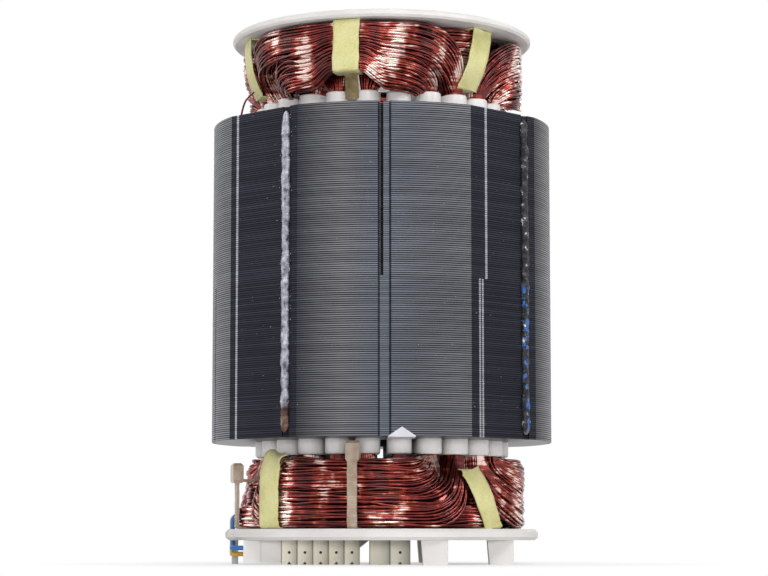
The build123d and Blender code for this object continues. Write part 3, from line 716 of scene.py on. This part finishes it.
# Windings
def end_turn(spec, out_share, up_share, random=None):
    """Middle line of one wire over one end of the core, from leg to leg, about the angle zero."""
    span, runs, lean, fan, tier, thick, middle, height, bulge, squeeze = spec
    vary = random.normal(1, bend_spread) if random is not None else 1
    crown = middle + up_share * height / 2
    leg = leg_middle + out_share * (leg_half - wire / 2)
    leg_across = up_share * min(slot_side(min(leg, round_centre), liner_inset) - wire / 2, leg_reach)
    turn = np.linspace(0, pi / 2, corner_steps)
    arms = []
    loose_turn = ease(turn / radians(fan_rise)) * ease((pi / 2 - turn) / radians(fan_fall))
    for run, outwards in zip(runs, lean):
        leg_angle = span + degrees(leg_across / leg)
        crown_angle = span - degrees(run * vary * (1 - bend_height_share * up_share) / tier)
        angle = leg_angle - (leg_angle - crown_angle) * (1 - np.cos(turn))
        angle = angle + loose_turn * (degrees(up_share * fan / leg) + outwards)
        rise = leg_exit + (crown - leg_exit) * np.sin(turn)
        arms.append((angle, rise, ease(turn / radians(tier_turn))))
    (a0, h0, s0), (a1, h1, s1) = arms
    level = np.linspace(-a0[-1], a1[-1], crown_steps)[1:-1]
    angle = np.concatenate([-a0, level, a1[::-1]])
    up = np.concatenate([h0, np.full(len(level), crown), h1[::-1]])
    shift = np.concatenate([s0, np.ones(len(level)), s1[::-1]])
    radius = leg + shift * (tier + out_share * (thick - wire) / 2 - leg)
    radius = radius + shift * bulge * ease(1 - np.abs(angle) / bulge_reach)
    if random is not None:
        t = np.linspace(0, 1, len(angle))
        loose = random.choice(slack_shares)
        stray = random.random() < stray_share
        drift = random.uniform(-stray_drift, stray_drift) if stray else random.normal(0, even_drift)
        up = up + shift * drift * (2 * t - 1)
        radius = radius + shift * (stray_lift if stray else 0.0)
        for reach, cycles in waves:
            wave = 2 * pi * cycles * random.uniform(wave_stretch_low, wave_stretch_high) * t
            sway = reach * random.uniform(-1, 1) * np.sin(wave + random.uniform(0, 2 * pi))
            up = up + shift * loose * sway
            sway = reach * random.uniform(-1, 1) * np.sin(wave + random.uniform(0, 2 * pi))
            radius = radius + shift * wave_depth_share * sway
    if squeeze:
        centre, low = squeeze
        tight = ease(squeeze_fade - np.abs(angle - centre) / squeeze_reach)
        share = (bundle_top - low) / (bundle_top - outer_low)
        up = bundle_top - (bundle_top - up) * (1 + tight * (share - 1))
    up = np.minimum(up, bundle_top - wire * top_gap_share)
    limit = max(winding_radius, tier + thick / 2 + bulge) - wire * side_gap_share
    return placed(angle, np.minimum(radius, limit), up + half_core)


def section_places(thick, height, random):
    """Places of the wires in two layers of a bundle's section, as shares of its half sizes."""
    places = []
    turn = np.linspace(0, 2 * pi, 721)
    reach = np.abs(np.cos(turn)) ** section_power + np.abs(np.sin(turn)) ** section_power
    reach = reach ** (-1 / section_power)
    for layer in (0, 1):
        inset = layer_gap_share * layer * wire
        x = np.cos(turn) * reach * ((thick - wire) / 2 - inset)
        y = np.sin(turn) * reach * ((height - wire) / 2 - inset)
        run = np.concatenate([[0], np.cumsum(np.hypot(np.diff(x), np.diff(y)))])
        count = int(run[-1] / (wire * wire_gap_share))
        at = np.arange(count) + random.uniform(-place_spread, place_spread, count)
        at = at / count * run[-1] % run[-1]
        out_shares = np.interp(at, run, x) / (thick - wire)
        up_shares = np.interp(at, run, y) / height
        places.append(np.column_stack([out_shares, up_shares]) * 2)
    return np.vstack(places)


def directions(line, closed, aside):
    """Unit vectors along a line, and square to it towards the given side."""
    ahead = np.roll(line, -1, axis=0) - np.roll(line, 1, axis=0)
    if not closed:
        ahead[0], ahead[-1] = line[1] - line[0], line[-1] - line[-2]
    ahead = unit(ahead)
    return ahead, unit(aside - ahead * np.sum(aside * ahead, axis=1, keepdims=True))


def tube(line, radius, sides, closed):
    """Points of a round tube along a line, one ring for each point."""
    ahead, out = directions(line, closed, line * np.array([1.0, 1.0, 0.0]))
    across = np.cross(ahead, out)
    turn = np.linspace(0, 2 * pi, sides, endpoint=False)[None, :, None]
    return line[:, None] + radius * (np.cos(turn) * out[:, None] + np.sin(turn) * across[:, None])


def loop(upper, lower):
    """Closed line through both end turns; the straight sides join their ends."""
    return np.concatenate([upper, lower[::-1] * np.array([1, 1, -1])])


def coil(group, kind, seed):
    """One coil: every wire a closed loop through two slots, round a dark heart."""
    random = np.random.default_rng(seed)
    outer, long = group.endswith("outer"), kind == "long"
    low = outer_low if outer else inner_low
    height = (bundle_top - low) / 2
    inside, outside = (outer_inner, winding_radius) if outer else (inner_inner, inner_outer)
    tier, thick = (outside + inside) / 2, outside - inside
    middle = bundle_top - (0.5 if long else 1.5) * height
    span, run = (long_span, long_run) if long else (short_span, short_run)
    bulge = 0 if outer else (long_bulge if long else short_bulge)
    lean = special_lean.get((group, kind), (0, 0))
    fan = outer_fan if outer else inner_fan
    specs = []
    for end in ("upper", "lower"):
        runs = special_runs.get((group, end), {}).get(kind, (run, run))
        taped = outer and (group, end) != ("front_outer", "lower")
        squeeze = (0, squeezed_low) if taped else None
        swell = left_swell if (group, end) == ("left_inner", "lower") else 0
        specs.append((span, runs, lean, fan, tier, thick, middle, height, bulge + swell, squeeze))
    verts, faces, first = [], [], 0
    for shares in section_places(thick, height, random):
        line = loop(*(end_turn(spec, *shares, random) for spec in specs))
        verts.append(tube(line, wire / 2, wire_sides, True).reshape(-1, 3))
        faces.append(grid_faces(len(line), wire_sides, True, True, first))
        first += len(line) * wire_sides
    heart = []
    for turn in np.linspace(0, 2 * pi, heart_sides, endpoint=False):
        shares = (heart_out_share * cos(turn), heart_up_share * sin(turn))
        heart.append(loop(*(end_turn(spec, *shares) for spec in specs)))
    heart = np.stack(heart, axis=1)
    verts.append(heart.reshape(-1, 3))
    faces.append(grid_faces(heart.shape[0], heart.shape[1], True, True, first))
    verts = np.vstack(verts)
    plan = local(groups[group] + 90, verts[:, 0], verts[:, 1])
    verts = np.column_stack([*plan, verts[:, 2] + core_middle])
    build(group + "_" + kind, verts, [np.vstack(faces)], WIRE, group + "_coil_" + kind, "winding_wire")


for number, name in enumerate(groups):
    coil(name, "long", 100 + 2 * number)
    coil(name, "short", 101 + 2 * number)


# Lashing tapes and cable ties
def spline(points, closed, steps):
    """Smooth line through points."""
    points = np.asarray(points, dtype=float)
    count = len(points)
    spans = count if closed else count - 1
    pick = (lambda k: points[k % count]) if closed else (lambda k: points[min(max(k, 0), count - 1)])
    line = []
    for k in range(spans):
        p0, p1, p2, p3 = (pick(k + d) for d in (-1, 0, 1, 2))
        for t in np.linspace(0, 1, steps, endpoint=False):
            cubic = 2 * p0 - 5 * p1 + 4 * p2 - p3 + t * (3 * (p1 - p2) + p3 - p0)
            line.append(p1 + 0.5 * t * (p2 - p0 + t * cubic))
    if not closed:
        line.append(points[-1])
    return np.array(line)


def ribbon(route, closed, width, thickness, steps, columns, random, fold=0.05, ribs=0.0):
    """Band of cloth or plastic along a route of angle, radius and height, with its faces."""
    route = spline(route, closed, steps)
    line = placed(route[:, 0], route[:, 1], route[:, 2])
    round_axis = np.column_stack([polar(1.0, route[:, 0] + 90), np.zeros(len(line))])
    ahead, across = directions(line, closed, round_axis)
    out = np.cross(ahead, across)
    if closed:
        out *= np.sign(np.sum(out * (line - line.mean(axis=0)), axis=1).mean())
    else:
        out *= np.sign(np.sum(out * line * np.array([1, 1, 0]), axis=1).mean())
    n = len(line)
    s = np.linspace(0, 2 * pi, n)
    share = np.linspace(-1, 1, columns)
    wrinkle = np.zeros((n, columns))
    for _ in range(fold_count):
        wave = random.integers(2, 11) * s[:, None] + random.uniform(-4, 4) * share[None]
        wave = wave + random.uniform(0, 2 * pi)
        wrinkle += fold * random.uniform(0.3, 1) * np.sin(wave)
    length = np.concatenate([[0], np.cumsum(np.linalg.norm(np.diff(line, axis=0), axis=1))])
    rib = ribs * (np.sin(2 * pi * length / rib_pitch) > 0)
    edge = 1 + edge_wave_share * np.sin(5 * s + random.uniform(0, 6)) + edge_ripple_share * np.sin(13 * s)
    aside = share[None] * width / 2 * edge[:, None]
    skins = []
    for depth in (thickness, 0.0):
        lift = depth + np.abs(wrinkle) + (rib[:, None] if depth else 0.0)
        skins.append(line[:, None] + across[:, None] * aside[..., None] + out[:, None] * lift[..., None])
    verts = np.concatenate([skin.reshape(-1, 3) for skin in skins])
    outside = grid_faces(n, columns, closed, False)
    rows = np.arange(n if closed else n - 1)
    following = (rows + 1) % n
    faces = [outside, outside[:, ::-1] + n * columns]
    for column, flip in ((0, 1), (columns - 1, -1)):
        near, far = rows * columns + column, following * columns + column
        rim = np.stack([near, far, far + n * columns, near + n * columns], axis=1)
        faces.append(rim[:, ::-flip])
    if not closed:
        for row, flip in ((0, -1), (n - 1, 1)):
            j = np.arange(columns - 1) + row * columns
            faces.append(np.stack([j, j + 1, j + 1 + n * columns, j + n * columns], axis=1)[:, ::flip])
    return verts, faces


def at_end(verts, faces, upper):
    """Band drawn by its height from the core, put at the upper or the lower end."""
    verts = verts.copy()
    if upper:
        verts[:, 2] += core_top
        return verts, faces
    verts[:, 2] = core_bottom - verts[:, 2]
    return verts, [f[:, ::-1] for f in faces]


def band_route(angle, inner, outer, low, high, lean=0.0, tuck=0.0):
    """Closed route round a bundle; it leans along the bundle and tucks in at its foot."""
    corner = band_corner
    middle = (low + high) / 2
    route = []
    for share in (0.0, 0.35, 0.7, 1.0):
        route.append((outer - tuck * share ** 3, high - corner - share * (high - low - 2 * corner)))
    foot = outer - tuck
    route += [(foot - corner, low), ((inner + foot) / 2, low), (inner + corner, low)]
    route += [(inner, low + corner), (inner, middle), (inner, high - corner)]
    route += [(inner + corner, high), ((inner + outer) / 2, high), (outer - corner, high)]
    return [(angle + lean * (height - middle), radius, height) for radius, height in route]


outer_band = (outer_inner - 0.7, winding_radius + band_gap)
inner_band = (inner_inner + 0.2, inner_outer + long_bulge + band_gap)
loose_band = (inner_band[0], inner_band[1] + 1.7)
tape_top = seat - tape_thickness - 0.15

# Angle, inside and outside, lower edge, lean and tuck of each tape
tapes = {
    "upper_tape_front_outer": (-14.8, outer_band, outer_tape_low, 0.03, 0),
    "upper_tape_right_outer": (105, outer_band, outer_tape_low, -0.05, 0),
    "upper_tape_left_outer": (225, outer_band, outer_tape_low, 0.08, 0),
    "upper_tape_right_inner": (44.5, inner_band, 8.6, 0.26, 3.4),
    "upper_tape_rear_inner": (165, inner_band, 9.0, -0.15, 3.0),
    "upper_tape_left_inner": (285.5, loose_band, 8.8, -0.12, 3.2),
    "lower_tape_right_outer": (105, outer_band, outer_tape_low, 0.1, 0),
    "lower_tape_left_outer": (225, outer_band, outer_tape_low, -0.1, 0),
    "lower_tape_right_inner": (47.2, inner_band, 9.6, 0.62, 2.4),
    "lower_tape_rear_inner": (165, inner_band, 9.6, 0.2, 2.4),
}

# End of the upper front tape, coloured dark as painted shade: angle, radius and height of each point
front_tail = [
    (-13.9, 42.6, 12.2), (-13.9, 42.2, 10.6), (-14.0, 41.2, 8.6), (-14.1, 40.4, 6.4), (-14.0, 39.8, 3.6),
]
for number, (node, (angle, band, low, lean, tuck)) in enumerate(tapes.items()):
    random = np.random.default_rng(40 + number)
    route = band_route(angle, *band, low, tape_top, lean, tuck)
    verts, faces = ribbon(route, True, tape_width, tape_thickness, 8, 11, random)
    picks = [0] * sum(map(len, faces))
    if node == "upper_tape_front_outer":
        tail, tail_faces = ribbon(front_tail, False, tail_width, tape_thickness, 8, 7, random)
        faces = faces + [face + len(verts) for face in tail_faces]
        picks += [1] * sum(map(len, tail_faces))
        verts = np.vstack([verts, tail])
    verts, faces = at_end(verts, faces, node.startswith("upper"))
    build(node + "_cloth", verts, faces, [TAPE, TAPE_PAINTED_SHADE], node, "lashing_tape", True, picks)

# Tape down the outside of the lower front end turn: angle, radius and height of each point
side_route = [
    (-49.5, winding_radius - 1.6, tape_top), (-49.6, winding_radius + band_gap, tape_top - 0.8),
    (-49.8, winding_radius + 0.15, 20.0), (-49.7, winding_radius + 0.15, 13.0), (-48.8, winding_radius, 8.4),
    (-46.4, winding_radius - 0.6, 5.6), (-44.0, 43.4, 4.9),
]
verts, faces = ribbon(side_route, False, side_tape_width, tape_thickness, 12, 11, np.random.default_rng(55))
build("side_tape_cloth", *at_end(verts, faces, False), TAPE, "lower_tape_front_outer", "lashing_tape")


def cable_tie(name, node, angle, inner, outer, low, head_radius):
    """Ribbed strap round a lower end turn, with its locking head."""
    random = np.random.default_rng(70)
    route = band_route(angle, inner, outer, low, seat - tie_thickness - rib_height - 0.05)
    verts, faces = ribbon(route, True, tie_width, tie_thickness, 24, 4, random, tie_fold, rib_height)
    first = len(verts)
    end = low - head_height
    box = []
    for height, shrink in ((end, 0.7), (end + 0.8, 0.0), (low - 0.4, 0.0), (low + 0.3, 0.35)):
        for x, y in ((0, -1), (0, 1), (1, 1), (1, -1)):
            along = head_radius - head_depth + shrink + x * (head_depth - 2 * shrink)
            box.append((*local(angle, along, y * (head_width / 2 - shrink)), height))
    faces.append(grid_faces(4, 4, False, True, first)[:, ::-1])
    faces.append(np.array([[first, first + 1, first + 2, first + 3]]))
    faces.append(np.array([[first + 15, first + 14, first + 13, first + 12]]))
    piece = build(name, *at_end(np.vstack([verts, box]), faces, False), NYLON, node, "tie_nylon", False)
    soft = piece.modifiers.new("soft_edges", "BEVEL")
    soft.width, soft.segments = 0.05 * MM, 1


cable_tie("front_tie", "cable_tie_front", -12, *outer_band, outer_low + 0.4, winding_radius + 0.9)
tie_outer = inner_band[1] + left_swell
cable_tie("left_tie", "cable_tie_left", 285, inner_band[0], tie_outer, inner_low - 0.5, tie_outer + 2.2)

# One wire that has sprung out of the winding at the upper left: angle, radius and height of each point
stray_route = [
    (-72.5, 43.6, 10.5), (-76.0, 45.6, 8.2), (-78.0, 46.6, 4.6), (-77.6, 46.9, 1.6),
    (-74.5, 46.0, 0.6), (-72.0, 44.0, 1.6), (-71.0, 42.0, 4.0),
]
stray_radius, stray_sides = wire / 2 * 0.8, 6
line = spline(stray_route, False, 8)
line = placed(line[:, 0], line[:, 1], line[:, 2] + core_top)
verts = tube(line, stray_radius, stray_sides, False).reshape(-1, 3)
build("stray_wire", verts, [grid_faces(len(line), stray_sides, False, True)], WIRE, slot="winding_wire")

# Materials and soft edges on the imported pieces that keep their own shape
kept_pieces = {
    "slot_wedges": LINER, "upper_end_ring": MOULD, "terminal_plate": MOULD,
    "main_socket_block": MAIN_SOCKET, "two_way_socket_block": PAIR_SOCKET, "contact_tabs": BRASS,
    "blue_lead": BLUE, "yellow_lead": YELLOW, "loose_paper": PAPER,
}
for node, mat in kept_pieces.items():
    nodes[node].data.materials.clear()
    nodes[node].data.materials.append(mat)
soft_edges = {
    "upper_end_ring": 0.35, "terminal_plate": 0.3, "main_socket_block": 0.14, "two_way_socket_block": 0.14,
}
for node, width in soft_edges.items():
    soft = nodes[node].modifiers.new("soft_edges", "BEVEL")
    soft.width, soft.segments = width * MM, 2
    soft.limit_method, soft.angle_limit = "ANGLE", radians(28)


# Stage, in metres: the floor, the shadow that it keeps, and the lamps
floor_half, shadow_radius, fade_rate, near_white_share = 4.0, 0.045, 14.0, 0.5
matt_level = 0.32
lamp_distance, box_size, box_level = 1.3, 0.50, 5.4
lamp_places = {"left_box": (-100, 38), "front_box": (4, 40), "right_box": (72, 38), "rear_box": (165, 38)}


def background_rays(tree):
    """1 for the rays that meet the white background: camera, glossy and transmission rays."""
    ray = tree.nodes.new("ShaderNodeLightPath")
    clear = calc(tree, "MAXIMUM", ray.outputs["Is Camera Ray"], ray.outputs["Is Glossy Ray"])
    return calc(tree, "MAXIMUM", clear, ray.outputs["Is Transmission Ray"])


def pale_floor():
    """Keeps the part's shadow close by, and is as white as the background further out."""
    mat, tree, bsdf = shader("pale_floor")
    vector = coords(tree)
    colour = ramp(tree, noise(tree, vector, 3.0, 2.0), [(0.3, grey(0.88)), (0.7, grey(0.90))])
    dress(tree, bsdf, {"Base Color": colour, "Roughness": 0.9})
    length = tree.nodes.new("ShaderNodeVectorMath")
    length.operation = "LENGTH"
    tree.links.new(vector, length.inputs[0])
    far = past(tree, length.outputs["Value"], shadow_radius, fade_rate)
    white = tree.nodes.new("ShaderNodeEmission")
    dress(tree, white, {"Color": grey(1.0)})
    blend = tree.nodes.new("ShaderNodeMixShader")
    share = calc(tree, "MULTIPLY_ADD", far, 1 - near_white_share, near_white_share)
    share = calc(tree, "MULTIPLY", share, background_rays(tree))
    for socket, value in zip(blend.inputs, (share, bsdf.outputs[0], white.outputs[0])):
        feed(tree, socket, value)
    tree.links.new(blend.outputs[0], tree.nodes["Material Output"].inputs["Surface"])
    return mat


def studio_world():
    """White background, and an even level on matt surfaces."""
    world = bpy.data.worlds.new("studio")
    bpy.context.scene.world = world
    world.use_nodes = True
    tree = world.node_tree
    tree.nodes.clear()
    level = mix(tree, background_rays(tree), grey(matt_level), grey(1.0))
    background = tree.nodes.new("ShaderNodeBackground")
    dress(tree, background, {"Color": level})
    tree.links.new(background.outputs[0], tree.nodes.new("ShaderNodeOutputWorld").inputs[0])


def softbox(name, azimuth, elevation, width, height, radiance, shine=True):
    """Oblong lamp at an azimuth from the front; a fill lamp leaves no shine."""
    data = bpy.data.lights.new(name, "AREA")
    data.shape = "RECTANGLE"
    data.size, data.size_y = width, height
    data.energy = radiance * pi * width * height
    lamp = add_object(name, data)
    lamp.visible_glossy = shine
    turn, rise = radians(azimuth - 90), radians(elevation)
    place = Vector((cos(turn) * cos(rise), sin(turn) * cos(rise), sin(rise))) * lamp_distance
    lamp.location = place + Vector((0, 0, core_middle * MM))
    lamp.rotation_euler = place.to_track_quat("Z", "Y").to_euler()


mesh = bpy.data.meshes.new("floor")
corners = [(x * floor_half, y * floor_half, 0) for x, y in ((-1, -1), (1, -1), (1, 1), (-1, 1))]
mesh.from_pydata(corners, [], [(0, 1, 2, 3)])
mesh.materials.append(pale_floor())
floor = add_object("floor", mesh)
studio_world()
for name, (azimuth, elevation) in lamp_places.items():
    softbox(name, azimuth, elevation, box_size, box_size, box_level)
softbox("low_fill", azimuth=0, elevation=1, width=0.9, height=0.14, radiance=14, shine=False)

# Camera fitted to the photograph
camera = bpy.data.cameras.new("camera")
camera.lens, camera.sensor_width = 109.3, 36.0
camera.clip_start = 0.01
eye = add_object("camera", camera)
distance, azimuth, pan, pitch, drop = 758.15, radians(-0.9), -0.001, radians(6.154), 31.05
eye.location = (distance * sin(azimuth) * MM, -distance * cos(azimuth) * MM, (core_bottom - drop) * MM)
eye.rotation_euler = (pi / 2 + pitch, 0, azimuth + pan)
bpy.context.scene.camera = eye
bpy.context.scene.view_settings.view_transform = "Standard"
